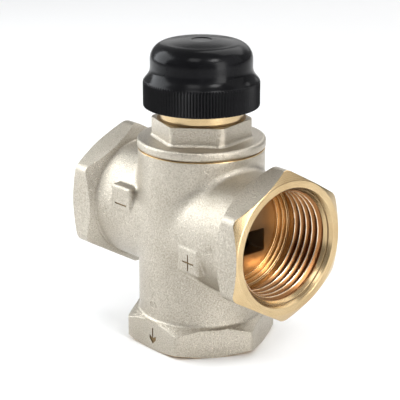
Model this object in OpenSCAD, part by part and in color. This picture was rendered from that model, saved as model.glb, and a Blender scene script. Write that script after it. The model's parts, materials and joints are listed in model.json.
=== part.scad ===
// Three-way mixing valve with a screw-on hand cap.
// The origin is the centre of the bottom port's face. +Z runs up the valve's axis,
// +X leads to the hot port and -X to the cold port. The bottom port is the mixed outlet.

/* [Casting] */
// Radius of the upright column
column_r = 18.3; // [18.1:0.1:19]
// Radius of the two side barrels
barrel_r = 17.9; // [17.6:0.1:18]
// Distance from the valve's axis to each side port's face
side_reach = 36.6; // [36:0.1:38]
// Height of the side ports' axis
side_port_z = 36.4; // [36.2:0.1:36.8]
// Height of the casting's top face
body_top_z = 58; // [57.8:0.1:58.4]
// Distance across the flats of the side hexagons
side_hex_af = 38.8; // [38:0.1:40]
// Length of the side hexagons
side_hex_len = 8.5; // [7.5:0.1:9.3]
// Distance across the flats of the bottom hexagon
base_hex_af = 38.4; // [38:0.1:40]
// Height of the bottom hexagon
base_hex_h = 8.6; // [8:0.1:9.5]

/* [G1 ports] */
// Radius of a port's thread at its crests, which is the G1 minor radius
port_thread_r = 15.15; // [15.1:0.01:15.2]
// Depth of a port's thread, with its mouth chamfer
port_thread_len = 14.1; // [12:0.1:14.2]
// Radius of the chamfer at a port's mouth
port_mouth_r = 17.1; // [16.8:0.1:17.3]
// Depth of a side port
side_port_depth = 20; // [19.6:0.1:20.2]

/* [Chambers] */
// Radius of the hot and cold chambers
chamber_r = 13.6; // [13.2:0.1:13.7]
// Width of the window between a side port and its chamber
window_w = 18.6; // [12:0.1:18.8]
// Height of that window
window_h = 6.5; // [5:0.1:6.6]
// Distance of each window from the height of the side ports' axis
window_offset = 1.4; // [0.8:0.1:1.5]
// Height of the partition between the two chambers
partition_h = 3.6; // [3.4:0.1:3.8]

/* [Shutter and stem] */
// Outer radius of the sliding sleeve
sleeve_r = 11; // [10.8:0.1:11.1]
// Thickness of the sleeve's wall
sleeve_wall = 2; // [1.6:0.1:2.4]
// Height of the hot seat's lip
hot_lip_z = 21.5; // [21.2:0.1:21.8]
// Height of the cold seat's lip
cold_lip_z = 47.5; // [47.2:0.1:47.8]
// Travel of the stem between the two seats
stem_stroke = 4; // [3:0.1:4]
// Radius of the stem where it runs in its guide
stem_r = 3; // [2.8:0.1:3.1]
// Radius of the stem's tip, which passes through the gland
stem_tip_r = 2; // [1.9:0.05:2]
// Height of the stem's tip
stem_top_z = 84; // [83.9:0.1:84.2]

/* [Bonnet] */
// Radius of the bonnet's flange
flange_r = 18.5; // [18.3:0.1:19]
// Height of the flange's upper face
flange_top_z = 60.8; // [60.4:0.1:61]
// Distance across the flats of the bonnet's hexagon
bonnet_hex_af = 25.6; // [25:0.1:27]
// Angle of a corner of that hexagon, from the hot port
bonnet_hex_turn = -17; // [-30:1:30]
// Height of the hexagon's upper face
bonnet_hex_top_z = 66.3; // [66:0.1:66.6]
// Radius of the smooth neck between the hexagon and the actuator thread
neck_r = 12; // [11.6:0.1:12.4]
// Height of the lower end of the actuator thread's collar
collar_z = 70.4; // [70.2:0.1:70.8]
// Height of the collar's upper face
collar_top_z = 77; // [76.9:0.1:77.1]
// Outer radius of the collar, which carries the M30 actuator thread
collar_r = 14.95; // [14.9:0.01:14.97]

/* [Cap] */
// Radius of the cap's ribbed skirt over the ribs
skirt_r = 16.6; // [16.5:0.1:17.5]
// Height of the skirt's lower edge
skirt_z = 69.95; // [69.8:0.05:70.1]
// Height where the skirt's ribs end
skirt_top_z = 76.9; // [76.7:0.1:77]
// Number of ribs around the skirt
rib_count = 114; // [60:1:140]
// Radius of the cap's dome
dome_r = 14.65; // [14.4:0.05:15]
// Height of the cap's top
cap_top_z = 89.2; // [89.1:0.1:90]
// Radius of the thrust pin in the middle of the cap
pin_r = 2.6; // [2.4:0.1:3]

/* [Hidden] */
$fn = 96;
fine_fn = 48;
over = 1;               // how far a cutter runs past the face that it cuts
run_gap = 0.05;         // radial clearance where one piece slides or turns in another
o_ring_gap = 0.08;      // radial clearance between an O-ring and the rod or sleeve inside it
o_ring_wire_r = 0.88;   // radius of the cord of the stem's and the shutter's O-rings

nickel = [0.78, 0.75, 0.70];
brass = [0.86, 0.72, 0.45];
steel = [0.72, 0.73, 0.75];
black = [0.10, 0.10, 0.11];
rubber = [0.16, 0.16, 0.17];

// casting
hex_chamfer_ring = 0.25;                       // how far a chamfer's inner ring lies inside the flats
shoulder_chamfer_ring = -0.3;                  // the same for the shoulder side of the side hexagons
bonnet_chamfer_ring = -1.4;                    // the same for the bonnet's hexagon
hex_chamfer_slope = 0.577;                     // axial depth of a chamfer for each mm of radius
barrel_bead_h = 1;
pad_size = [9, 4, 7.8];
pad_x = 14.8;
pad_dz = 5.5;
plus_dz = 5.9;
minus_dz = 3.9;
pad_face_y = -(barrel_r + 0.25);
mark_depth = 0.4;
mark_len = 4.8;
mark_w = 0.6;
port_step_r = 14.2;
side_relief_r = 16;
side_relief_end = 17.8;
outlet_taper_z = 15;
hot_bore_r = 11.8;                             // bore that takes the hot seat ring
hot_shoulder_z = 19;
hot_shoulder_r = 10.8;
chamber_floor_z = 20;
partition_z = side_port_z - partition_h / 2;
partition_bore_r = sleeve_r + 0.3;
o_groove_r = sleeve_r + 1.9;
o_groove_h = 1.8;
bonnet_bore_r = 14;
bonnet_bore_z = 49;
flange_groove_r = 15.9;
flange_groove_z = 56.5;

// shutter and stem
seal_h = 2.2;
seal_play = 0.05;
sleeve_top_z = cold_lip_z - seal_play;
sleeve_bottom_z = hot_lip_z + stem_stroke + seal_play;
sleeve_bore_r = sleeve_r - sleeve_wall;
hub_r = 4.4;
hub_z = 34;
hub_top_z = 39;
spoke_count = 4;
spoke_w = 2;
stem_end_r = 2.5;
stem_end_z = 28.6;
stem_washer_h = 0.8;
nut_af = 8;
nut_h = 4;
retainer_z = 69.3;
retainer_h = 0.8;
clip_h = 0.6;
clip_root_r = 1.6;
clip_r = 3.7;
spring_seat_z = 57.8;
spring_seat_h = 0.8;
spring_wire_r = 0.65;
spring_mean_r = 5.6;
spring_turns = 4.5;

// bonnet
seat_bore_r = 12.4;
seat_bore_top_z = 52.5;
under_floor_r = 9.2;
floor_z = 54;
floor_top_z = 57;
guide_r = 4.6;
guide_flange_r = 6.5;
spring_chamber_r = 8;
gland_thread_r = 8.5;
gland_z = 71.2;
gland_seal_h = 0.5;
gland_head_h = 2.4;
gland_head_af = 17;
gland_cavity_r = 3.9;
gland_cavity_top_z = gland_z + 5.8;
gland_washer_z = gland_z + 0.2;
gland_washer_h = 0.8;
gland_spacer_z = gland_z + 2.9;
gland_spacer_h = 1;

// cap
cap_bore_r = collar_r + 0.07;
cap_shoulder_z = collar_top_z + 0.2;
cap_inner_r = 12.8;
cap_ceiling_z = 87.2;
cap_edge_r = 4.6;
rib_depth = 0.35;
skirt_edge = 0.5;
cap_crown = 0.8;                               // how far the cap's top rises from its rounded edge to its axis
boss_r = 5;
boss_z = 85.6;
pin_recess = 0.5;
pin_flange_r = 4.4;
pin_play = 0.05;
pin_bottom_z = stem_top_z + 0.3;

function polar(r, a) = [r * cos(a), r * sin(a)];

// A tube or, with inner = 0, a rod that stands at z.
module tube(outer, inner, h, z) {
    translate([0, 0, z]) difference() {
        cylinder(r = outer, h = h);
        if (inner > 0) translate([0, 0, -over]) cylinder(r = inner, h = h + 2 * over);
    }
}

module o_ring(mean_r, wire_r, z) {
    translate([0, 0, z]) rotate_extrude() translate([mean_r, 0]) circle(r = wire_r, $fn = fine_fn);
}

// A hexagonal prism from z = 0 upwards, with a turned chamfer at each end. A chamfer's inner
// ring lies lower_ring or upper_ring inside the flats.
module chamfered_hex(af, h, lower_ring, upper_ring) {
    corner_r = af / sqrt(3);
    wide_r = corner_r + over;
    lower_r = af / 2 - lower_ring;
    upper_r = af / 2 - upper_ring;
    intersection() {
        cylinder(r = corner_r, h = h, $fn = 6);
        rotate_extrude() polygon([
            [0, 0], [lower_r, 0], [wide_r, (wide_r - lower_r) * hex_chamfer_slope],
            [wide_r, h - (wide_r - upper_r) * hex_chamfer_slope], [upper_r, h], [0, h]]);
    }
}

// Runs a shape that is built upwards from z = 0 inwards from a side port's face instead.
module from_side_face(side) {
    translate([side * side_reach, 0, side_port_z]) rotate([0, -side * 90, 0]) children();
}

module port_cutter(depth_profile) {
    chamfer = port_mouth_r - port_thread_r;
    rotate_extrude() polygon(concat(
        [[0, -over], [port_mouth_r + over, -over], [port_thread_r, chamfer],
         [port_thread_r, port_thread_len]],
        depth_profile));
}

// Puts a shape on the front of a side barrel, dz below its axis on the hot side (side = 1)
// and dz above it on the cold side.
module on_barrel(side, dz) {
    translate([side * pad_x, pad_face_y, side_port_z - side * dz]) children();
}

module marking_pad(side) {
    on_barrel(side, pad_dz) translate([-pad_size[0] / 2, 0, -pad_size[2] / 2]) cube(pad_size);
}

module plus_cutter() {
    on_barrel(1, plus_dz) {
        cube([mark_len, 2 * mark_depth, mark_w], center = true);
        cube([mark_w, 2 * mark_depth, mark_len], center = true);
    }
}

module minus_cutter() {
    on_barrel(-1, minus_dz) cube([mark_len, 2 * mark_depth, mark_w], center = true);
}

module casting_outside() {
    cylinder(r = column_r, h = body_top_z);
    translate([0, 0, base_hex_h])
        cylinder(r1 = column_r + barrel_bead_h, r2 = column_r, h = barrel_bead_h);
    chamfered_hex(base_hex_af, base_hex_h, hex_chamfer_ring, hex_chamfer_ring);
    for (side = [-1, 1]) {
        from_side_face(side) {
            cylinder(r = barrel_r, h = side_reach);
            chamfered_hex(side_hex_af, side_hex_len, hex_chamfer_ring, shoulder_chamfer_ring);
        }
        marking_pad(side);
    }
}

module casting_bores() {
    port_cutter([[hot_bore_r, outlet_taper_z], [hot_bore_r, hot_shoulder_z],
                 [hot_shoulder_r, hot_shoulder_z], [hot_shoulder_r, chamber_floor_z + over],
                 [0, chamber_floor_z + over]]);
    translate([0, 0, chamber_floor_z]) cylinder(r = chamber_r, h = bonnet_bore_z - chamber_floor_z + over);
    translate([0, 0, bonnet_bore_z]) cylinder(r = bonnet_bore_r, h = body_top_z - bonnet_bore_z + over);
    translate([0, 0, flange_groove_z]) cylinder(r = flange_groove_r, h = body_top_z - flange_groove_z + over);
    for (side = [-1, 1]) {
        from_side_face(side)
            port_cutter([[side_relief_r, port_thread_len], [side_relief_r, side_relief_end],
                         [port_step_r, side_relief_end], [port_step_r, side_port_depth],
                         [0, side_port_depth]]);
        window(side);
    }
    plus_cutter();
    minus_cutter();
}

// The hot window (side = 1) lies below the side ports' axis, and the cold one above it.
module window(side) {
    z = side > 0 ? side_port_z - window_offset - window_h : side_port_z + window_offset;
    inner_x = chamber_r * 0.7;
    length = side_reach - side_port_depth - inner_x + over;
    translate([side > 0 ? inner_x : -inner_x - length, -window_w / 2, z]) cube([length, window_w, window_h]);
}

module body() {
    color(nickel) {
        difference() {
            casting_outside();
            casting_bores();
        }
        difference() {
            tube(chamber_r + 0.4, partition_bore_r, partition_h, partition_z);
            translate([0, 0, side_port_z - o_groove_h / 2]) cylinder(r = o_groove_r, h = o_groove_h);
        }
    }
}

module hot_seat_ring() {
    color(brass) rotate_extrude() polygon([
        [8.6, 14.8], [hot_bore_r, 14.8], [hot_bore_r, hot_shoulder_z],
        [hot_shoulder_r, hot_shoulder_z], [hot_shoulder_r, 20.4], [10.2, hot_lip_z], [9.6, hot_lip_z],
        [8.6, 20.6]]);
}

module shutter_o_ring() {
    color(rubber) o_ring(sleeve_r + o_ring_gap + o_ring_wire_r, o_ring_wire_r, side_port_z);
}

module bonnet() {
    hex_z = flange_top_z + 0.4;
    color(nickel) difference() {
        union() {
            tube(bonnet_bore_r - run_gap, 0, body_top_z - 50, 50);
            tube(flange_r, 0, flange_top_z - body_top_z, body_top_z);
            tube(neck_r, 0, collar_z - flange_top_z + over, flange_top_z - over);
            translate([0, 0, hex_z]) rotate([0, 0, bonnet_hex_turn])
                chamfered_hex(bonnet_hex_af, bonnet_hex_top_z - hex_z, bonnet_chamfer_ring, bonnet_chamfer_ring);
            rotate_extrude() polygon([
                [0, collar_z], [neck_r, collar_z], [collar_r, collar_z + 0.8],
                [collar_r, collar_top_z - 0.8], [collar_r - 0.8, collar_top_z], [0, collar_top_z]]);
        }
        tube(seat_bore_r, 0, seat_bore_top_z - 50 + over, 50 - over);
        tube(under_floor_r, 0, floor_z - seat_bore_top_z + over, seat_bore_top_z - over);
        tube(guide_r, 0, floor_top_z - floor_z + 2 * over, floor_z - over);
        tube(spring_chamber_r, 0, gland_z - floor_top_z, floor_top_z);
        tube(gland_thread_r, 0, collar_top_z - gland_z + over, gland_z);
    }
}

module bonnet_o_ring() {
    wire_r = (body_top_z - flange_groove_z) / 2 - 0.02;
    color(rubber) o_ring(bonnet_bore_r + wire_r, wire_r, body_top_z - wire_r - 0.02);
}

module cold_seat_ring() {
    color(brass) rotate_extrude() polygon([
        [8.6, seat_bore_top_z], [seat_bore_r, seat_bore_top_z], [seat_bore_r, 50], [10.8, 50],
        [10.6, cold_lip_z + 0.5], [10.2, cold_lip_z], [9.6, cold_lip_z], [8.6, cold_lip_z + 1]]);
}

module stem_guide() {
    color(brass) {
        tube(guide_r, stem_r + run_gap, floor_top_z - floor_z, floor_z);
        tube(guide_flange_r, stem_r + run_gap, spring_seat_z - floor_top_z, floor_top_z);
    }
}

module spring_seat() {
    color(steel) tube(spring_chamber_r - 0.2, stem_r + 0.2, spring_seat_h, spring_seat_z);
}

// The spring's wire follows a helix whose first and last half turns lie flat.
module return_spring() {
    low_z = spring_seat_z + spring_seat_h + spring_wire_r;
    high_z = retainer_z - spring_wire_r;
    steps = 18 * spring_turns;
    sides = 8;
    function height(t) = low_z + (high_z - low_z) * (1 - cos(180 * t)) / 2;
    rings = [for (i = [0:steps]) let (t = i / steps, turn = 360 * spring_turns * t)
        for (j = [0:sides - 1]) let (a = 360 * (j + 0.5) / sides, spot = spring_mean_r + spring_wire_r * cos(a))
            [spot * cos(turn), spot * sin(turn), height(t) + spring_wire_r * sin(a)]];
    walls = [for (i = [0:steps - 1], j = [0:sides - 1]) let (k = (j + 1) % sides)
        [i * sides + j, i * sides + k, (i + 1) * sides + k, (i + 1) * sides + j]];
    first_end = [for (j = [0:sides - 1]) sides - 1 - j];
    last_end = [for (j = [0:sides - 1]) steps * sides + j];
    color(steel) polyhedron(points = rings, faces = concat(walls, [first_end, last_end]));
}

module gland_nut() {
    head_z = collar_top_z + gland_seal_h;
    color(brass) difference() {
        union() {
            tube(gland_thread_r - run_gap, 0, head_z - gland_z, gland_z);
            translate([0, 0, head_z]) cylinder(r = gland_head_af / sqrt(3), h = gland_head_h, $fn = 6);
        }
        tube(gland_cavity_r, 0, gland_cavity_top_z - gland_z + over, gland_z - over);
        tube(stem_tip_r + run_gap, 0, gland_head_h + 2 * gland_seal_h + 2 * over, gland_cavity_top_z - over);
    }
}

module gland_seal() {
    color(rubber) tube(gland_head_af / sqrt(3) - 0.4, gland_thread_r, gland_seal_h, collar_top_z);
}

module gland_o_ring(z) {
    color(rubber) o_ring(stem_tip_r + o_ring_gap + o_ring_wire_r, o_ring_wire_r, z);
}

module gland_o_ring_lower() {
    gland_o_ring(gland_washer_z + gland_washer_h + o_ring_wire_r + 0.05);
}

module gland_o_ring_upper() {
    gland_o_ring(gland_spacer_z + gland_spacer_h + o_ring_wire_r + 0.01);
}

module gland_spacer() {
    color(brass) tube(gland_cavity_r, stem_tip_r + run_gap, gland_spacer_h, gland_spacer_z);
}

module gland_washer() {
    color(brass) tube(gland_cavity_r, stem_tip_r + run_gap, gland_washer_h, gland_washer_z);
}

module stem() {
    clip_z = retainer_z + retainer_h;
    color(steel) rotate_extrude() polygon([
        [0, stem_end_z], [stem_end_r - 0.5, stem_end_z], [stem_end_r, stem_end_z + 0.5],
        [stem_end_r, hub_top_z], [stem_r, hub_top_z], [stem_r, retainer_z],
        [stem_tip_r, retainer_z], [stem_tip_r, clip_z], [clip_root_r, clip_z],
        [clip_root_r, clip_z + clip_h], [stem_tip_r, clip_z + clip_h],
        [stem_tip_r, stem_top_z - 0.8], [stem_tip_r - 0.8, stem_top_z], [0, stem_top_z]]);
}

module spring_retainer() {
    color(steel) tube(spring_chamber_r - 0.4, stem_tip_r + run_gap, retainer_h, retainer_z);
}

// An open clip with a mouth narrower than the stem's tip.
module retaining_clip() {
    z = retainer_z + retainer_h;
    color(steel) difference() {
        tube(clip_r, clip_root_r, clip_h, z);
        translate([0, -clip_root_r * 0.8, z - over]) cube([clip_r + over, clip_root_r * 1.6, clip_h + 2 * over]);
    }
}

module shutter_sleeve() {
    color(black) {
        tube(sleeve_r, sleeve_bore_r, sleeve_top_z - sleeve_bottom_z - 2 * seal_h, sleeve_bottom_z + seal_h);
        difference() {
            union() {
                tube(hub_r, 0, hub_top_z - hub_z, hub_z);
                for (i = [0:spoke_count - 1]) rotate([0, 0, 45 + i * 360 / spoke_count])
                    translate([0, -spoke_w / 2, hub_z])
                        cube([sleeve_bore_r + sleeve_wall / 2, spoke_w, hub_top_z - hub_z]);
            }
            tube(stem_end_r, 0, hub_top_z - hub_z + 2 * over, hub_z - over);
        }
    }
}

module seal(z) {
    color(rubber) tube(sleeve_r - 0.1, sleeve_bore_r, seal_h, z);
}

module upper_seal() {
    seal(sleeve_top_z - seal_h);
}

module lower_seal() {
    seal(sleeve_bottom_z);
}

module stem_washer() {
    color(steel) tube(nut_af / 2 + 0.4, stem_end_r, stem_washer_h, hub_z - stem_washer_h);
}

module stem_nut() {
    z = hub_z - stem_washer_h - nut_h;
    color(steel) translate([0, 0, z]) difference() {
        cylinder(r = nut_af / sqrt(3), h = nut_h, $fn = 6);
        translate([0, 0, -over]) cylinder(r = stem_end_r, h = nut_h + 2 * over);
    }
}

// The skirt's outline: one ridge and one valley for each rib.
module ribbed_skirt() {
    outline = [for (i = [0:2 * rib_count - 1])
        polar(i % 2 == 0 ? skirt_r : skirt_r - rib_depth, 180 * i / rib_count)];
    translate([0, 0, skirt_z + skirt_edge]) linear_extrude(height = skirt_top_z - skirt_z - skirt_edge)
        polygon(outline);
}

module cap() {
    flare_z = 81;
    edge_steps = 8;
    core_r = skirt_r - rib_depth - 0.1;
    core_top_z = skirt_top_z + 0.1;
    edge = [for (i = [0:edge_steps]) let (a = 90 * i / edge_steps)
        [dome_r - cap_edge_r + cap_edge_r * cos(a), cap_top_z - cap_crown - cap_edge_r + cap_edge_r * sin(a)]];
    flare = [for (i = [0:6]) let (a = 90 * i / 6)
        [core_r - (core_r - dome_r) * sin(a), flare_z - (flare_z - core_top_z) * cos(a)]];
    color(black) difference() {
        union() {
            ribbed_skirt();
            rotate_extrude() polygon(concat(
                [[0, skirt_z], [core_r - skirt_edge / 2, skirt_z], [core_r, skirt_z + skirt_edge / 2]],
                flare, edge, [[0, cap_top_z]]));
        }
        tube(cap_bore_r, 0, cap_shoulder_z - skirt_z + over, skirt_z - over);
        difference() {
            tube(cap_inner_r, 0, cap_ceiling_z - cap_shoulder_z + over, cap_shoulder_z - over);
            tube(boss_r, 0, cap_ceiling_z - boss_z + over, boss_z);
        }
        tube(pin_r + run_gap, 0, cap_top_z - boss_z + 2 * over, boss_z - over);
    }
}

module thrust_pin() {
    color(black) {
        tube(pin_flange_r, 0, boss_z - pin_play - pin_bottom_z, pin_bottom_z);
        tube(pin_r, 0, cap_top_z - pin_recess - pin_bottom_z, pin_bottom_z);
    }
}

body();
hot_seat_ring();
shutter_o_ring();
bonnet();
bonnet_o_ring();
cold_seat_ring();
stem_guide();
spring_seat();
return_spring();
gland_nut();
gland_seal();
gland_o_ring_lower();
gland_o_ring_upper();
gland_spacer();
gland_washer();
stem();
spring_retainer();
retaining_clip();
shutter_sleeve();
upper_seal();
lower_seal();
stem_washer();
stem_nut();
cap();
thrust_pin();
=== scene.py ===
"""Looks of a three-way mixing valve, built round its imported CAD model.

Lengths in this script are millimetres, in the CAD frame, until a mesh is made.
"""
import json
import math

import bpy
import numpy as np
from mathutils import Matrix, Vector


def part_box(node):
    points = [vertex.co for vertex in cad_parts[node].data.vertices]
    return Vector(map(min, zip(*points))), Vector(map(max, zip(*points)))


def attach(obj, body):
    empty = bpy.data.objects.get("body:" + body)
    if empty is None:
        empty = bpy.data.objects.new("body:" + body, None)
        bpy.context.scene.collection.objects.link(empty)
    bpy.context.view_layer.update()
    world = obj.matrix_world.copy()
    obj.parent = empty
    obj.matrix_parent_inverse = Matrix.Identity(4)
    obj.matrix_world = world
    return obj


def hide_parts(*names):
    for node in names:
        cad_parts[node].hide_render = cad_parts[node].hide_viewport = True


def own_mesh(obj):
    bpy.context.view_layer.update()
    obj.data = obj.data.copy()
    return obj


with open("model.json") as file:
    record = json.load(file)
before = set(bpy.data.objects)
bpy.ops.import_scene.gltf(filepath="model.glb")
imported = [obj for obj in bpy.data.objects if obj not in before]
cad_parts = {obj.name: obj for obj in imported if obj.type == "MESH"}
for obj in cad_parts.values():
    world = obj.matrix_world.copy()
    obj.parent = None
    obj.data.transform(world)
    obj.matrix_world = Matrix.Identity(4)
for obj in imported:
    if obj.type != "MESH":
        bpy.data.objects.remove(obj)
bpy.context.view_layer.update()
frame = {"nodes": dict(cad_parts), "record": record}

MM = 0.001
MOUNTS = {mount["name"]: mount for mount in frame["record"]["mounts"]}
X, Y, Z = 0, 1, 2
FRONT, UP = (0, -1, 0), (0, 0, 1)


def low(node, axis):
    """Lowest coordinate of a CAD node along an axis."""
    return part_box(node)[0][axis] / MM


def high(node, axis):
    """Highest coordinate of a CAD node along an axis."""
    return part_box(node)[1][axis] / MM


# ---------------------------------------------------------------- driving dimensions

# casting
COLUMN_R = 18.3
BARREL_R = 17.9
REACH = high("body", X)                  # from the valve's axis to a side port's face
PORT_Z = MOUNTS["port_hot"]["pos_m"][2] / MM
CREST_R = MOUNTS["port_hot"]["dims"]["r_mm"]
RIM_Z = 57.8                             # where the cast skin ends and the machined rim begins
BODY_TOP_Z = 58.0
# a chamfer starts at its ring, and its depth grows by the slope for each mm of radius
SIDE_HEX = {"flats": 38.8, "length": 9.3, "edge": 2.9, "corner": 0.0, "mouth_ring": 19.15,
            "mouth_slope": 0.577, "shoulder_ring": 18.4, "shoulder_slope": 0.8}
BASE_HEX = {"flats": 38.4, "length": 8.7, "edge": 2.0, "corner": 0.0, "mouth_ring": 19.0,
            "mouth_slope": 0.4, "shoulder_ring": 19.2, "shoulder_slope": 0.65}
LINER_R = 16.98                          # bore in the casting round the sleeve that holds a port's thread
SLEEVE_R = LINER_R - 0.03                # that sleeve's outside
SIDE_DEPTH = 20.0
BASE_DEPTH = 14.1
THREAD_START = 2.6                       # depth of the first turn of a port's thread
THREAD_END = 14.4
THREAD_PHASE = 0.845                     # where round the port its thread starts, in turns
THREAD_FADE_IN = 0.35
THREAD_FADE_OUT = 1.0
MOUTH_CONE = ((15.80, THREAD_START), (16.46, 1.14), (17.15, 0))      # radius and depth, out to the face
MOUTH_GROOVE = ((16.36, 1.62), (16.75, 1.4))                        # the thin groove in that cone
FOOT_STEPS = ((13.6, 0, 1.0), (14.5, 1.0, 2.3), (15.15, 2.3, 3.3))   # radius, from and to above the foot
RELIEF_R = 15.9                          # plain relief between a side port's thread and its steps
RELIEF_RISE = 3.5
STEPPED_FOOT = 5.4                       # from a port's inner end to the last turn of its thread
PLAIN_FOOT = 0.4
CHAMBER_R = 13.6
CHAMBER_FLOOR_Z = 20.0
OUTLET_R = 11.8                          # bore from the lower chamber down to the bottom port
PARTITION = {"radius": 12.6, "half_wall": 1.3, "half_height": 1.8}   # ring between the two chambers
BARREL_FILLET = 0.5
COLUMN_FILLET = 1.2
JOIN_LOW = 1.1                           # width of the blend between barrels and column, low down
JOIN_RISE = 0.9                          # how much wider it is higher up
JOIN_DROP = 4                            # from the ports' axis down to where it starts to widen
JOIN_SPAN = 14
SKIN_SINK = 0.5                          # how far the cast skin runs into the hexagons
BONNET_BORE_R = 14.0
BONNET_BORE_Z = 49.0
WINDOW = np.array([8.0, 18.6, 6.5])
WINDOW_OFFSET = 1.4                      # from the side ports' axis to a window's nearer edge
WINDOW_EDGE = 0.3
WINDOW_X = REACH - SIDE_DEPTH - 3
PAD_SIZE = np.array([9.0, 6.0, 7.8])
PAD_EDGE = 0.95
PAD_FILLET = 0.5
PAD_X = 14.8
PAD_DROP = 5.5                           # from the side ports' axis to the middle of a pad
PAD_FACE_Y = -(BARREL_R + 0.25)

# marks on the front: x and z of each mark's middle, and its size
MARK_STROKE = 0.42
MARK_DEPTH = 0.3
PLUS = {"x": PAD_X + 0.2, "z": PORT_Z - 5.9, "length": 4.8}
MINUS = {"x": -PAD_X - 0.1, "z": PORT_Z + 3.9, "length": 5.2}
ARROW = {"x": 0.6, "z": 4.5, "length": 4.6, "width": 2.8}
EJECTOR = {"radius": 1.15, "wire": 0.2, "sink": 0.08}
EJECTOR_SPOTS = ((-0.4, -COLUMN_R, 13.6), (23.4, -BARREL_R, PORT_Z), (-23.4, -BARREL_R, PORT_Z))

# G1 pipe thread
PITCH = 2.309
ROOT_R = 16.62

# bonnet and cap
FLANGE_R = high("bonnet", X)
FLANGE_TOP_Z = 60.8
BONNET_END_Z = 50.0
BONNET_HEX = {"flats": 25.6, "edge": 2.6, "corner": -17.0, "ring": 14.1, "slope": 0.5}
BONNET_FOOT = 0.6                        # how far the hexagon's foot spreads over the flange
BONNET_HEX_TOP_Z = 66.3
NECK_R = 12.0
COLLAR_Z = 70.4
COLLAR_TOP_Z = high("bonnet", Z)
ACTUATOR_PITCH = 1.5
COLLAR_MAJOR_R = 14.93
COLLAR_MINOR_R = 14.10
COLLAR_FADE = 0.5                        # how far the collar's thread and the cap's thread fade out
CAP_THREAD_FADE = 0.8
GLAND_R = 8.5
BONNET_INSIDE = ((GLAND_R, 71.2), (8.0, 71.2), (8.0, 57), (4.6, 57), (4.6, 54), (9.2, 54), (9.2, 52.5),
                 (12.4, 52.5), (12.4, BONNET_END_Z))                 # radius and height, downwards
SKIRT_R = 16.65
SKIRT_Z = low("cap", Z)
DOME_R = 14.6
FLARE = ((16.65, 76.7), (16.65, 77.9), (14.6, 78.6), (14.6, 81.2))   # control points of the shoulder's curve
CAP_TOP_Z = high("cap", Z)
CAP_INSIDE = ((2.65, 85.6), (5.0, 85.6), (5.0, 87.2), (10.6, 87.2), (12.2, 86.4), (12.8, 84.8), (12.8, 77.4),
              (15.02, 77.2))             # radius and height, from the pin's hole down to the cap's thread
CAP_THREAD_ROOM_R = 15.1
CAP_THREAD_GAP = 0.12
SKIRT_MOUTH_R = 15.35
PIN_HOLE_RIM_R = 3.1
PIN_HOLE = ((2.88, 0.12), (2.74, 0.24), (2.68, 0.5))                 # radius and depth under the cap's top
RIBS = 114
RIB_DEPTH = 0.36

# return spring
WIRE_R = 0.65
SPRING_R = 5.6
SPRING_TURNS = 4.5

# slots of the materials that a port's end and the bonnet carry; the last is brass painted dark brown as
# shade in grooves
SKIN, FACE, BORE, GROOVE_SHADE = 0, 1, 2, 3

# camera and light
CAMERA = {"azimuth": 49.0, "elevation": 17.31, "distance": 441.8, "target_z": 46.3, "lens": 137.65,
          "shift": (-0.0037, -0.0402)}
ROOM_LOW = 0.24                          # the room's brightness at the horizon and overhead
ROOM_HIGH = 0.45
LIGHT_TARGET_Z = 45
WHITE = (1, 1, 1)
COOL_WHITE = (0.93, 0.965, 1.0)
LIGHTS = (   # name, azimuth, elevation, distance in metres, size in metres, watts, colour
    ("backdrop", -170, 50, 1.3, (1.0, 1.0), 6.8, WHITE),
    ("backdrop_low", -141, 16, 1.3, (1.0, 0.4), 0.9, WHITE),
    ("key_high", 84, 48, 0.6, (0.15, 0.15), 1.1, WHITE),
    ("key_right", 28, 53, 0.6, (0.2, 0.2), 0.5, WHITE),
    ("window_left", -58, 25, 0.5, (0.4, 0.4), 2.5, COOL_WHITE),
    ("window_right", 92, 14, 0.36, (0.13, 0.28), 0.7, WHITE),
    ("window_back", 132, 28, 0.7, (0.5, 0.5), 0.45, WHITE))

# detail of the meshes
NET_STEP = 0.45
THREAD_ROWS = 24                         # rows of faces in one turn of a thread
SECTOR_COLUMNS = 48                      # columns of faces in a sixth of a turn


# ---------------------------------------------------------------- mesh tools

def new_object(name, points, faces, materials, face_slots=None, place=None, angle=35.0):
    """A piece from points in millimetres and quads. Faces turn outwards if the mesh is closed."""
    points = np.asarray(points, float)
    faces = np.asarray(faces, np.int64)
    corners = points[faces]
    volume = np.einsum("ij,ij->i", corners[:, 0], np.cross(corners[:, 1], corners[:, 2])).sum()
    volume += np.einsum("ij,ij->i", corners[:, 0], np.cross(corners[:, 2], corners[:, 3])).sum()
    if volume < 0:
        faces = faces[:, ::-1]
    mesh = bpy.data.meshes.new(name)
    mesh.vertices.add(len(points))
    mesh.vertices.foreach_set("co", (points * MM).astype(np.float32).ravel())
    mesh.loops.add(faces.size)
    mesh.loops.foreach_set("vertex_index", faces.astype(np.int32).ravel())
    mesh.polygons.add(len(faces))
    mesh.polygons.foreach_set("loop_start", np.arange(0, faces.size, 4, dtype=np.int32))
    mesh.polygons.foreach_set("loop_total", np.full(len(faces), 4, np.int32))
    for material in materials:
        mesh.materials.append(material)
    if face_slots is not None:
        mesh.polygons.foreach_set("material_index", np.asarray(face_slots, np.int32))
    mesh.update(calc_edges=True)
    mesh.validate()
    mesh.polygons.foreach_set("use_smooth", np.ones(len(mesh.polygons), bool))
    mesh.set_sharp_from_angle(angle=math.radians(angle))
    piece = bpy.data.objects.new(name, mesh)
    bpy.context.scene.collection.objects.link(piece)
    if place is not None:
        piece.matrix_world = place
    return piece


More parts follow.
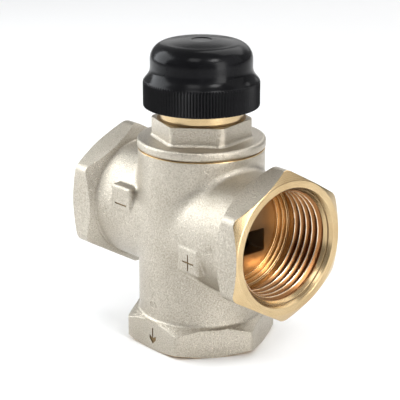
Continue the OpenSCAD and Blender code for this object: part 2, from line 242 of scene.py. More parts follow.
def soften(corners, bevels, slots, steps=5):
    """Rounds the corners of an open profile, one profile for each angle.

    corners is (angles, points, 2), and bevels gives how far each rounding runs along its two sides.
    Returns the rows of the finer profile, and the material slot of the faces after each row.
    """
    rows, row_slots = [], []
    count = corners.shape[1]
    for i in range(count):
        here = corners[:, i]
        if bevels[i] == 0 or i in (0, count - 1):
            rows.append(here)
            row_slots.append(slots[i])
            continue
        back, ahead = corners[:, i - 1] - here, corners[:, i + 1] - here
        back_len = np.linalg.norm(back, axis=1, keepdims=True) + 1e-9
        ahead_len = np.linalg.norm(ahead, axis=1, keepdims=True) + 1e-9
        cut = np.minimum(bevels[i], 0.45 * np.minimum(back_len, ahead_len))
        start, end = here + back / back_len * cut, here + ahead / ahead_len * cut
        for j in range(steps + 1):
            t = j / steps
            rows.append((1 - t) ** 2 * start + 2 * t * (1 - t) * here + t ** 2 * end)
            row_slots.append(slots[i - 1] if t < 0.5 else slots[i])
    return rows, row_slots


def per_angle(points, angles):
    """The same profile for every angle. A point's radius or height may be an array of its own."""
    return np.stack([np.stack([np.broadcast_to(r, angles.shape), np.broadcast_to(h, angles.shape)], -1)
                     for r, h in points], 1).astype(float)


def profile_rows(spots, angles):
    """The softened rows and face slots of a profile of (radius, height, bevel, slot)."""
    return soften(per_angle([spot[:2] for spot in spots], angles), [spot[2] for spot in spots],
                  [spot[3] for spot in spots])


def lathe(name, rows, row_slots, angles, materials, place=None, angle=35.0):
    """A closed ring swept through all angles from a closed loop of rows of (radius, height)."""
    loop = np.stack(rows, 1)
    columns, count = loop.shape[:2]
    points = np.stack([loop[..., 0] * np.cos(angles)[:, None], loop[..., 0] * np.sin(angles)[:, None],
                       loop[..., 1]], -1).reshape(-1, 3)
    c, r = np.meshgrid(np.arange(columns), np.arange(count), indexing="ij")
    c_next, r_next = (c + 1) % columns, (r + 1) % count
    faces = np.stack([c * count + r, c_next * count + r, c_next * count + r_next, c * count + r_next], -1)
    face_slots = np.broadcast_to(np.array(row_slots), (columns, count)).reshape(-1)
    return new_object(name, points, faces.reshape(-1, 4), materials, face_slots, place, angle)


def smoothstep(t):
    """0 below zero, 1 above one, and an even rise between."""
    t = np.clip(t, 0, 1)
    return t * t * (3 - 2 * t)


def round_angles(columns):
    """Angles at even steps round a full turn."""
    return np.arange(columns) * 2 * math.pi / columns


def hex_angles(corner_deg):
    """Angles round a hexagon, closest together at its corners."""
    crowding = 1.6
    u = np.arange(SECTOR_COLUMNS) / SECTOR_COLUMNS * 2 - 1
    sector = np.sign(u) * np.abs(u) ** crowding * 30
    return np.radians(np.concatenate([corner_deg + 60 * i + sector for i in range(6)]))


def hex_radius(angles, size):
    """Distance from a hexagon's centre to its outline, which has rounded corners."""
    half, edge = size["flats"] / 2, size["edge"]
    off = (np.degrees(angles) - size["corner"] + 30) % 60 - 30
    off = np.radians(np.abs(off))
    centre = (half - edge) / math.cos(math.radians(30))
    turn = math.atan2(edge / 2, centre + edge * math.cos(math.radians(30)))
    rounded = centre * np.cos(off) + np.sqrt(np.maximum(edge ** 2 - (centre * np.sin(off)) ** 2, 0))
    return np.where(off < turn, rounded, half / np.cos(math.radians(30) - off))


def eased_ramp(t, ease):
    """0 below zero and t above it, with a rounded bend between."""
    bend = (np.clip(t, -ease, ease) + ease) ** 2 / (4 * ease)
    return np.where(t > ease, t, bend)


def thread_wave(phase):
    """A thread's depth at each turn of 1: 0 on its crests, 1 in its roots, with flat flanks."""
    flat, ease = 1 / 20, 0.1
    off_crest = np.abs((phase + 0.75) % 1 - 0.5)
    t = (off_crest - flat) / (0.5 - 2 * flat)
    return eased_ramp(t, ease) - eased_ramp(t - 1, ease)


def port_place(side):
    """Where a side port's own frame lies: its z runs inwards from the port's face."""
    turn = Matrix.Rotation(math.radians(-90 * side), 4, "Y")
    return Matrix.Translation(Vector((side * REACH, 0, PORT_Z)) * MM) @ turn


# ---------------------------------------------------------------- the casting's skin

def smooth_min(a, b, k):
    """The smaller of two distances, rounded over a width k where they are nearly equal."""
    h = np.clip(0.5 + 0.5 * (b - a) / k, 0, 1)
    return b + (a - b) * h - k * h * (1 - h)


def rounded_box(x, y, z, centre, size, edge):
    """Distance to a box whose edges are rounded."""
    gaps = [np.abs(p - c) - s / 2 + edge for p, c, s in zip((x, y, z), centre, size)]
    outer = np.sqrt(sum(np.maximum(gap, 0) ** 2 for gap in gaps))
    return outer + np.minimum(np.maximum(np.maximum(gaps[0], gaps[1]), gaps[2]), 0) - edge


def flare(distance, fillet):
    """How far a fillet stands out at a distance from the shoulder that it runs into."""
    rise = np.clip(fillet - distance, 0, fillet)
    return fillet - np.sqrt(fillet ** 2 - rise ** 2)


def cast_outside(x, y, z):
    """Distance to the outside: two barrels and a column, their fillets, and the marking pads."""
    shoulder_x = REACH - SIDE_HEX["length"]
    around_column, around_ports = np.hypot(x, y), np.hypot(y, z - PORT_Z)
    barrel = around_ports - BARREL_R - flare(np.maximum(shoulder_x - np.abs(x), 0), BARREL_FILLET)
    column = around_column - COLUMN_R - flare(np.maximum(z - BASE_HEX["length"], 0), COLUMN_FILLET)
    blend = JOIN_LOW + JOIN_RISE * smoothstep((z - PORT_Z + JOIN_DROP) / JOIN_SPAN)
    skin = smooth_min(column, barrel, blend)
    for side in (-1, 1):
        centre = (side * PAD_X, PAD_FACE_Y + PAD_SIZE[1] / 2, PORT_Z - side * PAD_DROP)
        skin = smooth_min(skin, rounded_box(x, y, z, centre, PAD_SIZE, PAD_EDGE), PAD_FILLET)
    ends = np.maximum(np.abs(x) - shoulder_x - SKIN_SINK, BASE_HEX["length"] - SKIN_SINK - z)
    return np.maximum(np.maximum(skin, ends), z - RIM_Z)


def cast_inside(x, y, z):
    """The cavities: the ports' sleeves, the chambers, the windows between them and the bores."""
    around_column, around_ports = np.hypot(x, y), np.hypot(y, z - PORT_Z)
    holes = [np.maximum(around_ports - LINER_R, REACH - SIDE_DEPTH - np.abs(x)),
             np.maximum(around_column - CHAMBER_R, CHAMBER_FLOOR_Z - z),
             np.maximum(around_column - BONNET_BORE_R, BONNET_BORE_Z - z),
             np.maximum(around_column - LINER_R, z - BASE_DEPTH),
             around_column - OUTLET_R]
    for side in (-1, 1):
        centre = (side * WINDOW_X, 0, PORT_Z - side * (WINDOW_OFFSET + WINDOW[2] / 2))
        holes.append(rounded_box(x, y, z, centre, WINDOW, WINDOW_EDGE))
    return np.minimum.reduce(holes)


def cast_distance(x, y, z):
    """Distance to the casting's surface, negative inside the metal."""
    metal = np.maximum(cast_outside(x, y, z), -cast_inside(x, y, z))
    off_wall = np.abs(np.hypot(x, y) - PARTITION["radius"]) - PARTITION["half_wall"]
    partition = np.maximum(off_wall, np.abs(z - PORT_Z) - PARTITION["half_height"])
    return np.minimum(metal, partition)


def surface_net(distance, corner, far_corner, step):
    """Points and quads of the surface where distance is 0, one point in each grid cell it crosses."""
    axes = [np.arange(a, b + step, step) for a, b in zip(corner, far_corner)]
    field = distance(*np.meshgrid(*axes, indexing="ij"))
    cells = np.array(field.shape) - 1
    total, hits = np.zeros((*cells, 3)), np.zeros(cells)
    crossings = []
    for axis in range(3):
        first = np.take(field, range(cells[axis]), axis)
        second = np.take(field, range(1, cells[axis] + 1), axis)
        crossing = (first < 0) != (second < 0)
        share = np.where(crossing, first / np.where(crossing, first - second, 1), 0)
        others = [a for a in range(3) if a != axis]
        for du in (0, 1):
            for dv in (0, 1):
                part = [slice(None)] * 3
                part[others[0]] = slice(du, du + cells[others[0]])
                part[others[1]] = slice(dv, dv + cells[others[1]])
                hit = crossing[tuple(part)]
                total[..., axis] += share[tuple(part)]
                total[..., others[0]] += du * hit
                total[..., others[1]] += dv * hit
                hits += hit
        crossings.append((axis, others, crossing, first < 0))
    used = hits > 0
    number = np.full(cells, -1)
    number[used] = np.arange(used.sum())
    points = np.array(corner) + (np.argwhere(used) + total[used] / hits[used][:, None]) * step
    quads = []
    for axis, (u, v), crossing, inside in crossings:
        spots = np.argwhere(crossing)
        spots = spots[(spots[:, u] > 0) & (spots[:, v] > 0)]
        shift = np.zeros((4, 3), int)
        shift[[0, 3], u] = -1
        shift[[0, 1], v] = -1
        ring = spots[:, None] + shift
        quad = number[ring[..., 0], ring[..., 1], ring[..., 2]]
        flip = inside[tuple(spots.T)] != (axis == 1)
        quads.append(np.where(flip[:, None], quad, quad[:, ::-1]))
    return points, np.concatenate(quads)


def settle(points, distance, rounds=3):
    """Moves points onto the surface where distance is 0."""
    probe, longest_step, least_steep = 0.02, 0.2, 0.25
    for _ in range(rounds):
        value = distance(*points.T)
        slope = np.stack([distance(*(points + probe * axis).T) - distance(*(points - probe * axis).T)
                          for axis in np.eye(3)], -1) / (2 * probe)
        steep = np.maximum((slope ** 2).sum(1), least_steep)
        points = points - np.clip(value / steep, -longest_step, longest_step)[:, None] * slope
    return points


def make_casting(skin, machined):
    """The cast body between the ports' ends, with its cavities."""
    end_room, front_room, back_room, top_room = 1.7, 1.6, 2, 1        # from the skin to the grid's sides
    corner = (-(REACH - SIDE_HEX["length"] + end_room), PAD_FACE_Y - front_room,
              BASE_HEX["length"] - end_room)
    far_corner = (-corner[0], BARREL_R + back_room, RIM_Z + top_room)
    points, quads = surface_net(cast_distance, corner, far_corner, NET_STEP)
    points = settle(points, cast_distance)
    middle, on_cavity = points[quads].mean(1), 0.15
    bare = cast_inside(*middle.T) < on_cavity
    return new_object("casting", points, quads, [skin, machined], bare.astype(int), angle=50)


# ---------------------------------------------------------------- ports

def port_mouth(size, angles):
    """Rows from the first turn of the thread out over the face and the hexagon, to its shoulder."""
    outline = hex_radius(angles, size)
    mouth_drop = np.maximum(outline - size["mouth_ring"], 0.02) * size["mouth_slope"]
    shoulder_drop = np.maximum(outline - size["shoulder_ring"], 0.02) * size["shoulder_slope"]
    shoulder_r = np.minimum(outline - 0.02, size["shoulder_ring"])
    inner, middle, rim = MOUTH_CONE
    # the thin groove in the cone is painted dark brown as shade
    return profile_rows([
        (*inner, 0, FACE), (*MOUTH_GROOVE[0], 0.06, GROOVE_SHADE), (*MOUTH_GROOVE[1], 0.04, GROOVE_SHADE),
        (*middle, 0.06, FACE), (*rim, 0.12, FACE), (size["mouth_ring"], 0, 0.25, FACE),
        (outline, mouth_drop, 0.3, SKIN), (outline, size["length"] - shoulder_drop, 0.2, SKIN),
        (shoulder_r, size["length"], 0.1, SKIN), (SLEEVE_R, size["length"], 0.05, BORE)], angles)


def port_foot(depth, stepped, angles):
    """Rows round the inner end of a port's sleeve, up to the last turn of its thread."""
    spots = [(SLEEVE_R, depth, 0.05, BORE)]
    if stepped:
        for radius, start, end in FOOT_STEPS:
            spots += [(radius, depth - start, 0.1, BORE), (radius, depth - end, 0.3, BORE)]
        spots += [(RELIEF_R, depth - RELIEF_RISE, 0.15, BORE),
                  (RELIEF_R, depth - STEPPED_FOOT + 0.1, 0, BORE)]
    else:
        spots += [(CREST_R, depth, 0.05, BORE), (CREST_R, depth - PLAIN_FOOT + 0.1, 0, BORE)]
    return profile_rows(spots, angles)


def port_thread(end, stepped, angles):
    """Rows of the thread, from its last turn out to its first."""
    rows = []
    count = round((end - THREAD_START) / PITCH * THREAD_ROWS)
    for d in np.linspace(end, THREAD_START, count, endpoint=False):
        wave = thread_wave(d / PITCH - angles / (2 * math.pi) - THREAD_PHASE)
        radius = CREST_R + (ROOT_R - CREST_R) * wave
        fade_in = smoothstep((d - THREAD_START) / THREAD_FADE_IN)
        radius = fade_in * radius + (1 - fade_in) * np.maximum(radius, MOUTH_CONE[0][0])
        fade_out = smoothstep((d - end + THREAD_FADE_OUT) / THREAD_FADE_OUT) if stepped else 0
        radius = radius * (1 - fade_out) + RELIEF_R * fade_out
        rows.append(np.stack([radius, np.full_like(angles, d)], -1))
    return rows


def make_port(name, size, depth, place, materials):
    """One port's hexagon, face, thread and sleeve as a closed ring."""
    angles = hex_angles(size["corner"])
    stepped = depth > BASE_DEPTH
    mouth, mouth_slots = port_mouth(size, angles)
    foot, foot_slots = port_foot(depth, stepped, angles)
    thread = port_thread(depth - (STEPPED_FOOT if stepped else PLAIN_FOOT), stepped, angles)
    slots = mouth_slots + foot_slots + [BORE] * len(thread)
    return lathe(name, mouth + foot + thread, slots, angles, materials, place, angle=30)


# ---------------------------------------------------------------- bonnet and cap

def make_bonnet(materials):
    """Flange, hexagon, neck and threaded collar of the bonnet, and its inside."""
    angles = hex_angles(BONNET_HEX["corner"])
    outline = hex_radius(angles, BONNET_HEX)
    ring_r = np.minimum(outline - 0.05, BONNET_HEX["ring"])
    chamfer = np.maximum(outline - BONNET_HEX["ring"], 0.05) * BONNET_HEX["slope"]
    hex_top, foot_r, foot_z = BONNET_HEX_TOP_Z, BONNET_BORE_R - 0.05, BODY_TOP_Z + 0.02
    start, end = COLLAR_Z + 0.2, COLLAR_TOP_Z - 0.3                  # of the collar's thread
    first, first_slots = profile_rows([
        (foot_r, BONNET_END_Z, 0, FACE), (foot_r, foot_z, 0.05, FACE),
        (FLANGE_R - 0.5, foot_z, 0.1, SKIN), (FLANGE_R, BODY_TOP_Z + 0.5, 0.3, SKIN),
        (FLANGE_R, FLANGE_TOP_Z, 1.1, SKIN), (outline + BONNET_FOOT, FLANGE_TOP_Z, 0.15, SKIN),
        (outline, FLANGE_TOP_Z + BONNET_FOOT, 0.5, SKIN),
        (outline, hex_top - chamfer, 0.35, SKIN), (ring_r, hex_top, 0.15, SKIN),
        # a small groove round the foot of the neck, painted dark brown as shade
        (NECK_R + 0.75, hex_top, 0.05, GROOVE_SHADE), (NECK_R + 0.65, hex_top + 0.12, 0.05, GROOVE_SHADE),
        (NECK_R - 0.15, hex_top + 0.12, 0.1, GROOVE_SHADE), (NECK_R - 0.15, hex_top + 0.4, 0.1, FACE),
        (NECK_R, hex_top + 0.5, 0.1, FACE), (NECK_R, COLLAR_Z, 0.1, FACE),
        (COLLAR_MINOR_R, start, 0, FACE)], angles)
    count = round((end - start) / ACTUATOR_PITCH * THREAD_ROWS)
    thread = []
    for z in np.linspace(start, end, count)[1:]:
        wave = thread_wave(z / ACTUATOR_PITCH - angles / (2 * math.pi))
        radius = COLLAR_MINOR_R + (COLLAR_MAJOR_R - COLLAR_MINOR_R) * wave
        fade = smoothstep((z - start) / COLLAR_FADE) * smoothstep((end - z) / COLLAR_FADE)
        thread.append(np.stack([COLLAR_MINOR_R + (radius - COLLAR_MINOR_R) * fade,
                                np.full_like(angles, z)], -1))
    inside = [(COLLAR_MINOR_R, COLLAR_TOP_Z, 0.2, FACE), (GLAND_R, COLLAR_TOP_Z, 0.1, FACE)]
    inside += [(r, z, 0, FACE) for r, z in BONNET_INSIDE]
    last, last_slots = profile_rows(inside, angles)
    slots = first_slots + [FACE] * len(thread) + last_slots
    return lathe("bonnet_shell", first + thread + last, slots, angles, materials, angle=30)


def make_rim(machined):
    """The casting's machined top edge, which shows as a thin bare line under the flange."""
    angles = round_angles(288)
    spots = [(BONNET_BORE_R, RIM_Z - 0.2), (COLUMN_R - 0.02, RIM_Z - 0.2), (COLUMN_R - 0.05, RIM_Z + 0.05),
             (COLUMN_R - 0.5, BODY_TOP_Z), (BONNET_BORE_R, BODY_TOP_Z)]
    rows, slots = soften(per_angle(spots, angles), [0, 0, 0.05, 0.05, 0], [0] * 5)
    return lathe("machined_rim", rows, slots, angles, [machined])


def bezier(spots, t):
    """A point of a cubic curve, from its four control points."""
    weights = ((1 - t) ** 3, 3 * t * (1 - t) ** 2, 3 * t * t * (1 - t), t ** 3)
    return tuple(sum(weight * spot[i] for weight, spot in zip(weights, spots)) for i in (0, 1))


def cap_outline():
    """The cap's outer profile, from its lower edge up over the dome to the hole for the pin."""
    edge, crown, dome_edge, steps, flare_steps = 0.4, 0.85, 4.8, 14, 24
    quarter = [math.pi / 2 * i / steps for i in range(steps + 1)]
    outer = [(SKIRT_MOUTH_R, SKIRT_Z)]
    outer += [(SKIRT_R - edge + edge * math.sin(a), SKIRT_Z + edge - edge * math.cos(a))
              for a in quarter[::3]]
    outer += [(SKIRT_R, z) for z in np.linspace(SKIRT_Z + edge + 0.1, FLARE[0][1], 6)]
    outer += [bezier(FLARE, (i + 1) / flare_steps) for i in range(flare_steps)]
    shoulder_z = CAP_TOP_Z - crown - dome_edge
    outer += [(DOME_R, z) for z in np.linspace(FLARE[-1][1], shoulder_z, 5)[1:-1]]
    rim = DOME_R - dome_edge
    outer += [(rim + dome_edge * math.cos(a), shoulder_z + dome_edge * math.sin(a)) for a in quarter]
    outer += [(r, CAP_TOP_Z - crown * (r / rim) ** 2) for r in np.linspace(rim, PIN_HOLE_RIM_R, 9)[1:]]
    return outer + [(r, CAP_TOP_Z - depth) for r, depth in PIN_HOLE]


def make_cap(plastic):
    """The cap: ribbed skirt, concave shoulder, dome, hole for the pin, and its hollow inside."""
    angles = round_angles(RIBS * 6)
    valley = SKIRT_R - RIB_DEPTH * (0.5 - 0.5 * np.cos(angles * RIBS))
    rows = [np.stack([np.minimum(valley, r), np.full_like(angles, z)], -1)
            for r, z in [*cap_outline(), *CAP_INSIDE]]
    start, end = SKIRT_Z + 0.5, COLLAR_TOP_Z - 0.1
    count = round((end - start) / ACTUATOR_PITCH * THREAD_ROWS)
    for z in np.linspace(end, start, count):
        wave = thread_wave(z / ACTUATOR_PITCH - angles / (2 * math.pi))
        radius = COLLAR_MINOR_R + CAP_THREAD_GAP + (COLLAR_MAJOR_R - COLLAR_MINOR_R) * wave
        fade = smoothstep((z - start) / CAP_THREAD_FADE) * smoothstep((end - z) / CAP_THREAD_FADE)
        radius = radius * fade + CAP_THREAD_ROOM_R * (1 - fade)
        rows.append(np.stack([radius, np.full_like(angles, z)], -1))
    return lathe("hand_cap", rows, [0] * len(rows), angles, [plastic], angle=30)


def tube_through(name, rings, material):
    """A closed tube through rings of points, all of the same count, with a flat face at each end."""
    count, last = len(rings[0]), len(rings) - 1
    points = [tuple(c * MM for c in point) for ring in rings for point in ring]
    faces = [tuple(reversed(range(count))), tuple(range(last * count, (last + 1) * count))]
    for i in range(last):
        here, ahead = i * count, (i + 1) * count
        faces += [(here + j, here + (j + 1) % count, ahead + (j + 1) % count, ahead + j)
                  for j in range(count)]
    mesh = bpy.data.meshes.new(name)
    mesh.from_pydata(points, [], faces)
    mesh.materials.append(material)
    piece = bpy.data.objects.new(name, mesh)
    bpy.context.scene.collection.objects.link(piece)
    return piece


def make_spring(steel):
    """The return spring: a round wire whose ends run level along the seat and the retainer."""
    low_z, high_z = low("return_spring", Z) + WIRE_R, high("return_spring", Z) - WIRE_R
    steps, rings = 320, []
    for i in range(steps + 1):
        share = i / steps
        turn = 2 * math.pi * SPRING_TURNS * share
        z = low_z + (high_z - low_z) * (1 - math.cos(math.pi * share)) / 2
        spots = [(SPRING_R + WIRE_R * math.cos(a), z + WIRE_R * math.sin(a)) for a in round_angles(16)]
        rings.append([(r * math.cos(turn), r * math.sin(turn), height) for r, height in spots])
    spring = tube_through("smooth_spring", rings, steel)
    spring.data.shade_smooth()
    spring.data.set_sharp_from_angle(angle=math.radians(50))
    return spring


# ---------------------------------------------------------------- engraved marks

def prism(name, outline, depth, material):
    """A cutter: a flat outline in its own x and y, from -depth to +depth in z."""
    rings = [[(x, y, z) for x, y in outline] for z in (-depth, depth)]
    return tube_through(name, rings, material)


def engrave(piece, cutter, place):
    """Cuts a mark into a piece and removes the cutter."""
    cutter.matrix_world = place
    bpy.context.view_layer.update()
    cut = piece.modifiers.new("mark", "BOOLEAN")
    cut.operation, cut.solver, cut.object = "DIFFERENCE", "EXACT", cutter
    cut.material_mode = "TRANSFER"
    with bpy.context.temp_override(object=piece, active_object=piece, selected_objects=[piece]):
        bpy.ops.object.modifier_apply(modifier=cut.name)
    bpy.data.objects.remove(cutter)


def plus_outline(length, width):
    """A plus with equal arms."""
    a, b = length / 2, width / 2
    return [(a, -b), (a, b), (b, b), (b, a), (-b, a), (-b, b), (-a, b), (-a, -b), (-b, -b), (-b, -a),
            (b, -a), (b, -b)]


def minus_outline(length, width):
    """A plain bar."""
    a, b = length / 2, width / 2
    return [(-a, -b), (a, -b), (a, b), (-a, b)]


def arrow_outline(length, width, stroke):
    """A plain arrow that points down."""
    top, half, side = length / 2, stroke / 2, width / 2
    return [(half, top), (-half, top), (-half, side - top + half), (-side, 1.6 * side - top + half),
            (-side, side - top - half), (0, -top - half), (side, side - top - half),
            (side, 1.6 * side - top + half), (half, side - top + half)]


def facing(direction, up, centre):
    """A frame at centre whose z is direction and whose y is nearest to up."""
    z = Vector(direction).normalized()
    x = Vector(up).cross(z).normalized()
    y = z.cross(x)
    turn = Matrix((x, y, z)).transposed().to_4x4()
    return Matrix.Translation(Vector(centre) * MM) @ turn


# ---------------------------------------------------------------- materials

class Graph:
    """Short names for the shader nodes that the materials use."""

    def __init__(self, name):
        self.material = bpy.data.materials.new(name)
        self.material.use_nodes = True
        self.tree = self.material.node_tree
        self.shader = self.tree.nodes["Principled BSDF"]
        self.object_point = self.add("ShaderNodeTexCoord").outputs["Object"]

    def add(self, kind, **settings):
        node = self.tree.nodes.new(kind)
        for key, value in settings.items():
            setattr(node, key, value)
        return node

    def feed(self, socket, value):
        if hasattr(value, "links"):
            self.tree.links.new(value, socket)
        else:
            socket.default_value = value

    def noise(self, point, scale, detail=2.0, rough=0.5):
        node = self.add("ShaderNodeTexNoise")
        self.feed(node.inputs["Vector"], point)
        node.inputs["Scale"].default_value = scale
        node.inputs["Detail"].default_value = detail
        node.inputs["Roughness"].default_value = rough
        return node.outputs["Fac"]

    def span(self, value, low_in, high_in, low_out, high_out):
        node = self.add("ShaderNodeMapRange")
        for socket, number in zip(node.inputs[:5], (value, low_in, high_in, low_out, high_out)):
            self.feed(socket, number)
        return node.outputs["Result"]

    def mix(self, share, first, second):
        node = self.add("ShaderNodeMix", data_type="RGBA")
        self.feed(node.inputs["Factor"], share)
        self.feed(node.inputs["A"], first)
        self.feed(node.inputs["B"], second)
        return node.outputs["Result"]

    def calculate(self, operation, first, second=0.0):
        node = self.add("ShaderNodeMath", operation=operation)
        self.feed(node.inputs[0], first)
        self.feed(node.inputs[1], second)
        return node.outputs[0]

    def turned(self):
        """A point whose pattern runs round the object's own z like turning marks, its radius and its z."""
        parts = self.add("ShaderNodeSeparateXYZ")
        self.feed(parts.inputs[0], self.object_point)
        x, y, z = parts.outputs
        squares = [self.calculate("MULTIPLY", part, part) for part in (x, y)]
        radius = self.calculate("SQRT", self.calculate("ADD", *squares))
        join = self.add("ShaderNodeCombineXYZ")
        self.feed(join.inputs[0], radius)
        self.feed(join.inputs[1], z)
        return join.outputs[0], radius, z

    def bump(self, height, strength, distance, under=None):
        node = self.add("ShaderNodeBump")
        node.inputs["Strength"].default_value = strength
        node.inputs["Distance"].default_value = distance
        self.feed(node.inputs["Height"], height)
        if under is not None:
            self.feed(node.inputs["Normal"], under)
        return node.outputs["Normal"]

    def finish(self, **sockets):
        for key, value in sockets.items():
            self.feed(self.shader.inputs[key.replace("_", " ")], value)
        return self.material


def nickel_skin():
    """Sand-blasted nickel plate over a sand casting."""
    g = Graph("blasted_nickel")
    grain = g.noise(g.object_point, 2600, 3.0, 0.6)
    lumps = g.noise(g.object_point, 260, 2.0)
    cloud = g.noise(g.object_point, 60, 3.0)
    colour = g.mix(g.span(cloud, 0.35, 0.65, 0, 1), (0.50, 0.455, 0.38, 1), (0.58, 0.535, 0.455, 1))
    colour = g.mix(g.span(grain, 0.36, 0.6, 0.6, 0), colour, (0.27, 0.235, 0.18, 1))
    normal = g.bump(lumps, 0.3, 0.00025)
    normal = g.bump(grain, 1.0, 0.0002, normal)
    rough = g.span(grain, 0.3, 0.7, 0.38, 0.25)
    return g.finish(Base_Color=colour, Metallic=1.0, Roughness=rough, Normal=normal)


def brass_colours(g, point, light, dark):
    """Stained brass with fine rings, and the rings themselves."""
    rings = g.noise(point, 9000, 2.0)
    stain = g.noise(g.object_point, 90, 3.0)
    colour = g.mix(g.span(stain, 0.35, 0.7, 0, 1), light, dark)
    return g.mix(g.span(rings, 0.4, 0.7, 0, 0.3), colour, tuple(0.8 * c for c in dark[:3]) + (1,)), rings


def ringed_finish(g, colour, rings):
    """The finish of bare metal with the fine rings of a lathe tool."""
    return g.finish(Base_Color=colour, Metallic=1.0, Roughness=g.span(rings, 0.3, 0.7, 0.2, 0.34),
                    Normal=g.bump(rings, 0.25, 0.00003))


def groove_shade_brass():
    """Brass painted a dull dark brown as shade at the bottom of grooves and engraved marks."""
    g = Graph("groove_shade_brass")
    colour, rings = brass_colours(g, g.object_point, (0.34, 0.24, 0.12, 1), (0.20, 0.13, 0.06, 1))
    return g.finish(Base_Color=colour, Metallic=0.8, Roughness=0.5, Normal=g.bump(rings, 0.25, 0.00003))


def face_brass():
    """Bare brass with the fine rings of a lathe tool."""
    g = Graph("face_brass")
    point, _, _ = g.turned()
    colour, rings = brass_colours(g, point, (0.62, 0.47, 0.27, 1), (0.50, 0.36, 0.19, 1))
    return ringed_finish(g, colour, rings)


def bore_brass():
    """Darker brass, with the thread's crests painted near-white as a painted highlight and its roots painted
    dark brown as painted shade.
    """
    g = Graph("bore_brass")
    point, radius, depth = g.turned()
    colour, rings = brass_colours(g, point, (0.80, 0.54, 0.29, 1), (0.64, 0.37, 0.15, 1))
    in_thread = g.calculate("MULTIPLY", g.span(depth, THREAD_START * MM, (THREAD_START + 0.2) * MM, 0, 1),
                       g.span(depth, THREAD_END * MM, (THREAD_END + 0.4) * MM, 1, 0))
    # painted shade in the thread's roots and painted highlight on its crests, only within the thread
    root_shade = g.span(radius, (CREST_R + 0.12) * MM, (CREST_R + 0.3) * MM, 0, 0.85)
    crest_highlight = g.span(radius, (CREST_R + 0.05) * MM, (CREST_R + 0.15) * MM, 1, 0)
    colour = g.mix(g.calculate("MULTIPLY", in_thread, root_shade), colour, (0.20, 0.07, 0.02, 1))
    colour = g.mix(g.calculate("MULTIPLY", in_thread, crest_highlight), colour, (1.0, 0.92, 0.80, 1))
    return ringed_finish(g, colour, rings)


def shaded_deep_brass():
    """Brass painted darker and duller than the faces, as painted shade at the bottom of the ports and in the
    chambers.
    """
    g = Graph("shaded_deep_brass")
    colour, rings = brass_colours(g, g.object_point, (0.52, 0.34, 0.18, 1), (0.40, 0.23, 0.10, 1))
    return g.finish(Base_Color=colour, Metallic=1.0, Roughness=0.36, Normal=g.bump(rings, 0.25, 0.00003))


def cap_plastic():
    """Glossy black moulded plastic, with a faint orange peel and handling marks."""
    g = Graph("gloss_black")
    peel = g.noise(g.object_point, 500, 1.0)
    smear = g.noise(g.object_point, 120, 4.0, 0.6)
    colour = g.mix(g.span(smear, 0.3, 0.7, 0, 1), (0.003, 0.003, 0.0035, 1), (0.006, 0.006, 0.007, 1))
    rough = g.span(smear, 0.35, 0.7, 0.16, 0.26)
    normal = g.bump(peel, 0.12, 0.00006)
    return g.finish(Base_Color=colour, Roughness=rough, Normal=normal, Specular_IOR_Level=0.12)


def plain_steel():
    """Turned stainless steel."""
    g = Graph("turned_steel")
    rings = g.noise(g.turned()[0], 7000, 2.0)
    colour = g.mix(rings, (0.52, 0.52, 0.53, 1), (0.68, 0.68, 0.70, 1))
    return g.finish(Base_Color=colour, Metallic=1.0, Roughness=g.span(rings, 0.3, 0.7, 0.22, 0.38),
                    Normal=g.bump(rings, 0.2, 0.00003))


def soft_black(name, low_colour, high_colour, rough):
    """Rubber or matt plastic: dark, with a fine moulded grain."""
    g = Graph(name)
    grain = g.noise(g.object_point, 1800, 3.0)
    colour = g.mix(grain, low_colour, high_colour)
    return g.finish(Base_Color=colour, Roughness=g.span(grain, 0.3, 0.7, rough - 0.08, rough + 0.08),
                    Normal=g.bump(grain, 0.3, 0.00005))


# ---------------------------------------------------------------- room

def white_floor():
    """A pale, plain floor with a barely visible unevenness."""
    g = Graph("white_floor")
    speck = g.noise(g.object_point, 8, 3.0)
    colour = g.mix(speck, (0.93, 0.93, 0.93, 1), (0.96, 0.96, 0.96, 1))
    return g.finish(Base_Color=colour, Roughness=0.7)


def make_floor():
    """A floor that runs far out of view."""
    size = 3.0
    mesh = bpy.data.meshes.new("floor")
    corners = [(-size, -size, 0), (size, -size, 0), (size, size, 0), (-size, size, 0)]
    mesh.from_pydata(corners, [], [(0, 1, 2, 3)])
    mesh.materials.append(white_floor())
    floor = bpy.data.objects.new("floor", mesh)
    bpy.context.scene.collection.objects.link(floor)


def camera_back(azimuth, elevation):
    """Unit vector from the target to a viewer. Azimuth 0 looks along +Y."""
    a, e = math.radians(azimuth), math.radians(elevation)
    return Vector((math.sin(a) * math.cos(e), -math.cos(a) * math.cos(e), math.sin(e)))


def make_camera():
    """The camera at the photograph's viewing angle."""
    data = bpy.data.cameras.new("camera")
    data.sensor_width = 36.0
    data.lens = CAMERA["lens"]
    data.shift_x, data.shift_y = CAMERA["shift"]
    camera = bpy.data.objects.new("camera", data)
    bpy.context.scene.collection.objects.link(camera)
    back = camera_back(CAMERA["azimuth"], CAMERA["elevation"])
    camera.location = Vector((0, 0, CAMERA["target_z"])) * MM + back * CAMERA["distance"] * MM
    camera.rotation_mode = "QUATERNION"
    camera.rotation_quaternion = (-back).to_track_quat("-Z", "Y")
    data.clip_start, data.clip_end = 0.01, 20
    bpy.context.scene.camera = camera


def make_light(name, azimuth, elevation, distance, size, power, colour):
    """A soft, flat light that points at the valve. Distance and size are in metres."""
    data = bpy.data.lights.new(name, "AREA")
    data.shape, data.size, data.size_y = "RECTANGLE", size[0], size[1]
    data.energy, data.color = power, colour
    light = bpy.data.objects.new(name, data)
    bpy.context.scene.collection.objects.link(light)
    back = camera_back(azimuth, elevation)
    light.location = Vector((0, 0, LIGHT_TARGET_Z * MM)) + back * distance
    light.rotation_mode = "QUATERNION"
    light.rotation_quaternion = (-back).to_track_quat("-Z", "Y")


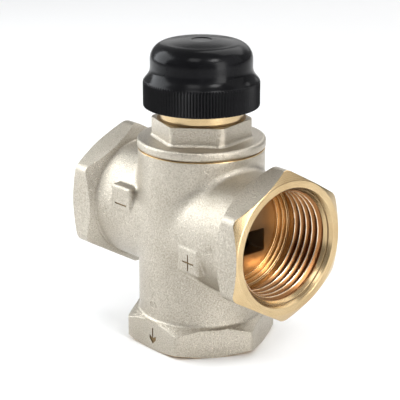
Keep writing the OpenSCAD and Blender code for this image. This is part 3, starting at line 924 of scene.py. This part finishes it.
def make_world():
    """A pale room: brightest overhead, dimmer towards the horizon."""
    world = bpy.data.worlds.new("studio")
    world.use_nodes = True
    tree = world.node_tree
    point = tree.nodes.new("ShaderNodeTexCoord")
    parts = tree.nodes.new("ShaderNodeSeparateXYZ")
    ramp = tree.nodes.new("ShaderNodeMapRange")
    tree.links.new(point.outputs["Generated"], parts.inputs[0])
    tree.links.new(parts.outputs[2], ramp.inputs[0])
    for socket, number in zip(ramp.inputs[1:5], (0.0, 1.0, ROOM_LOW, ROOM_HIGH)):
        socket.default_value = number
    background = tree.nodes["Background"]
    background.inputs["Color"].default_value = (1, 1, 1, 1)
    tree.links.new(ramp.outputs[0], background.inputs["Strength"])
    bpy.context.scene.world = world


def make_studio():
    """Floor, camera, room and lights."""
    make_floor()
    make_camera()
    make_world()
    for light in LIGHTS:
        make_light(*light)
    bpy.context.scene.view_settings.view_transform = "Standard"


# ---------------------------------------------------------------- the object

def engrave_marks(casting, base_end, brass):
    """The plus and minus on the pads, and an arrow on the bottom hexagon."""
    plus, minus = plus_outline(PLUS["length"], MARK_STROKE), minus_outline(MINUS["length"], MARK_STROKE)
    arrow = arrow_outline(ARROW["length"], ARROW["width"], MARK_STROKE)
    for piece, outline, mark, y in ((casting, plus, PLUS, PAD_FACE_Y), (casting, minus, MINUS, PAD_FACE_Y),
                                    (base_end, arrow, ARROW, -BASE_HEX["flats"] / 2)):
        # each cutter leaves its brass, painted dark brown as shade, at the bottom of its mark
        engrave(piece, prism("mark_cutter", outline, MARK_DEPTH, brass),
                facing(FRONT, UP, (mark["x"], y, mark["z"])))


def make_ejector_rings(skin):
    """The faint raised rings that the mould's ejector pins leave on the front of the casting."""
    angles = round_angles(40)
    radius, wire, sink = EJECTOR["radius"], EJECTOR["wire"], EJECTOR["sink"]
    rows = []
    for a in round_angles(12):
        r, rise = radius + wire * math.cos(a), wire * math.sin(a) - sink
        rows.append(np.stack([np.full_like(angles, r), np.full_like(angles, rise)], -1))
    return [lathe("ejector_ring", rows, [0] * len(rows), angles, [skin], facing(FRONT, UP, spot))
            for spot in EJECTOR_SPOTS]


def make_valve():
    """The pieces that stand for the body, the bonnet, the return spring and the cap."""
    nickel, plastic, steel = nickel_skin(), cap_plastic(), plain_steel()
    # groove_shade is brass painted dark brown as shade in the grooves and engraved marks
    face, bore, groove_shade = face_brass(), bore_brass(), groove_shade_brass()
    skins = [nickel, face, bore, groove_shade]
    # the casting's cavities take brass painted darker as shade
    casting = make_casting(nickel, shaded_deep_brass())
    ports = [make_port("port_hot_end", SIDE_HEX, SIDE_DEPTH, port_place(1), skins),
             make_port("port_cold_end", SIDE_HEX, SIDE_DEPTH, port_place(-1), skins),
             make_port("port_mixed_end", BASE_HEX, BASE_DEPTH, None, skins)]
    engrave_marks(casting, ports[-1], groove_shade)
    for piece in [casting, *ports, make_rim(face), *make_ejector_rings(nickel)]:
        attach(piece, "casing")
        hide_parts("body")
    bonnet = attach(make_bonnet(skins), "casing")
    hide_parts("bonnet")
    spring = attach(make_spring(steel), "casing")
    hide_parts("return_spring")
    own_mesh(spring)
    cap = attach(make_cap(plastic), "cap")
    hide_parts("cap")


def dress_cad_nodes():
    """Gives every CAD node its material."""
    made = bpy.data.materials
    rubber = soft_black("moulded_rubber", (0.018, 0.018, 0.018, 1), (0.035, 0.035, 0.035, 1), 0.6)
    dark_plastic = soft_black("matt_plastic", (0.006, 0.006, 0.006, 1), (0.01, 0.01, 0.01, 1), 0.5)
    by_slot = {"brass": made["face_brass"], "steel": made["turned_steel"], "nickel": made["blasted_nickel"],
               "cap_plastic": made["gloss_black"], "rubber": rubber, "dark_plastic": dark_plastic}
    for part in frame["record"]["subparts"]:
        node = frame["nodes"][part["node"]]
        material = by_slot[part["material_slot"]]
        if node.material_slots:
            for held in node.material_slots:
                held.material = material
        else:
            node.data.materials.append(material)


make_valve()
dress_cad_nodes()
make_studio()
